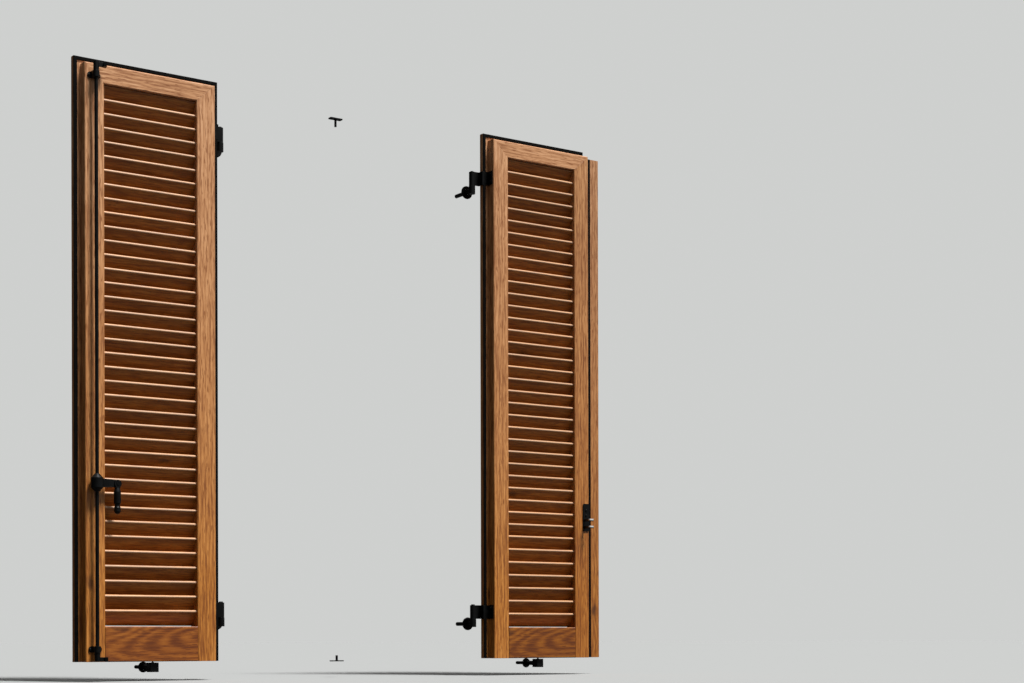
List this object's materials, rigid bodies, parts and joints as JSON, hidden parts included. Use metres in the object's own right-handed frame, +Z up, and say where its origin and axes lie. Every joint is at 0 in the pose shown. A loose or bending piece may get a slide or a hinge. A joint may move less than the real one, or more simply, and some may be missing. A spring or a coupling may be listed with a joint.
{
  "type": "pair of louvred shutters",
  "caption": "Pair of wooden louvred shutter leaves with fixed slats, hung on wall pintles, with lock rod, hanging grip, keepers and hold-backs.",
  "frame": {"origin": "on the wall's face, on the axis of the stud of the left leaf's lower pintle", "axes": "+X along the wall to the right as seen from outside, +Y into the wall, +Z up; leaves stored open, folded back against the wall"},
  "size_m": [1.78, 0.1815, 1.651],
  "materials": {
    "stained_wood": "stained and lacquered softwood",
    "slat_wood": "stained and lacquered softwood",
    "dowel_wood": "plain beech",
    "black_rubber": "matt black extruded seal",
    "black_steel": "satin black paint",
    "black_screw": "satin black paint",
    "zinc_steel": "zinc plated",
    "spring_steel": "oiled spring steel"
  },
  "bodies": {
    "wall_fixings": {"left_upper_pintle": "black_steel", "left_lower_pintle": "black_steel", "left_hold_back": "black_steel", "left_catch_spring": "spring_steel", "right_upper_pintle": "black_steel", "right_lower_pintle": "black_steel", "right_hold_back": "black_steel", "right_catch_spring": "spring_steel", "pintle_rosettes": "black_steel", "hold_back_rosettes": "black_steel", "hold_back_plugs": "black_steel", "head_keeper": "black_steel", "sill_keeper": "black_steel"},
    "left_leaf": {"left_hinge_stile": "stained_wood", "left_meeting_stile": "stained_wood", "left_top_rail": "stained_wood", "left_bottom_rail": "stained_wood", "left_slats": "slat_wood", "left_corner_dowels": "dowel_wood", "left_seal": "black_rubber", "left_upper_strap": "black_steel", "left_lower_strap": "black_steel", "left_strap_screws": "black_screw", "left_catch_cup": "zinc_steel", "upper_rod_guide": "black_steel", "lower_rod_guide": "black_steel", "guide_screws": "black_screw"},
    "right_leaf": {"right_hinge_stile": "stained_wood", "right_meeting_stile": "stained_wood", "right_top_rail": "stained_wood", "right_bottom_rail": "stained_wood", "right_slats": "slat_wood", "right_corner_dowels": "dowel_wood", "right_seal": "black_rubber", "right_upper_strap": "black_steel", "right_lower_strap": "black_steel", "right_strap_screws": "black_screw", "right_catch_cup": "zinc_steel", "astragal": "stained_wood", "astragal_seal": "black_rubber", "astragal_screws": "black_screw", "grip_catch": "black_steel", "grip_catch_screws": "black_screw"},
    "lock_rod": {"lock_rod": "black_steel", "upper_hook": "black_steel", "lower_hook": "black_steel", "handle_carrier": "black_steel", "handle_pin": "black_steel"},
    "grip": {"handle_grip": "black_steel"},
    "left_catch_pin": {"left_catch_pin": "zinc_steel"},
    "right_catch_pin": {"right_catch_pin": "zinc_steel"}
  },
  "joints": [
    {"name": "left_leaf_swing", "type": "hinge", "parent": "wall_fixings", "child": "left_leaf", "pos_m": [0, -0.03, 0], "axis": [0, 0, 1], "range_deg": [0, 180]},
    {"name": "right_leaf_swing", "type": "hinge", "parent": "wall_fixings", "child": "right_leaf", "pos_m": [0.855, -0.03, 0], "axis": [0, 0, -1], "range_deg": [0, 180]},
    {"name": "lock_rod_turn", "type": "hinge", "parent": "left_leaf", "child": "lock_rod", "pos_m": [-0.397, -0.105, 0.371], "axis": [0, 0, -1], "range_deg": [0, 180]},
    {"name": "grip_lift", "type": "hinge", "parent": "lock_rod", "child": "grip", "pos_m": [-0.34, -0.105, 0.371], "axis": [0, -1, 0], "range_deg": [-20, 100]},
    {"name": "left_catch_rise", "type": "slide", "parent": "wall_fixings", "child": "left_catch_pin", "axis": [0, 0, 1], "range_m": [0, 0.004], "stiffness_N_per_m": 400, "springref_m": 0.008},
    {"name": "right_catch_rise", "type": "slide", "parent": "wall_fixings", "child": "right_catch_pin", "axis": [0, 0, 1], "range_m": [0, 0.004], "stiffness_N_per_m": 400, "springref_m": 0.008}
  ]
}
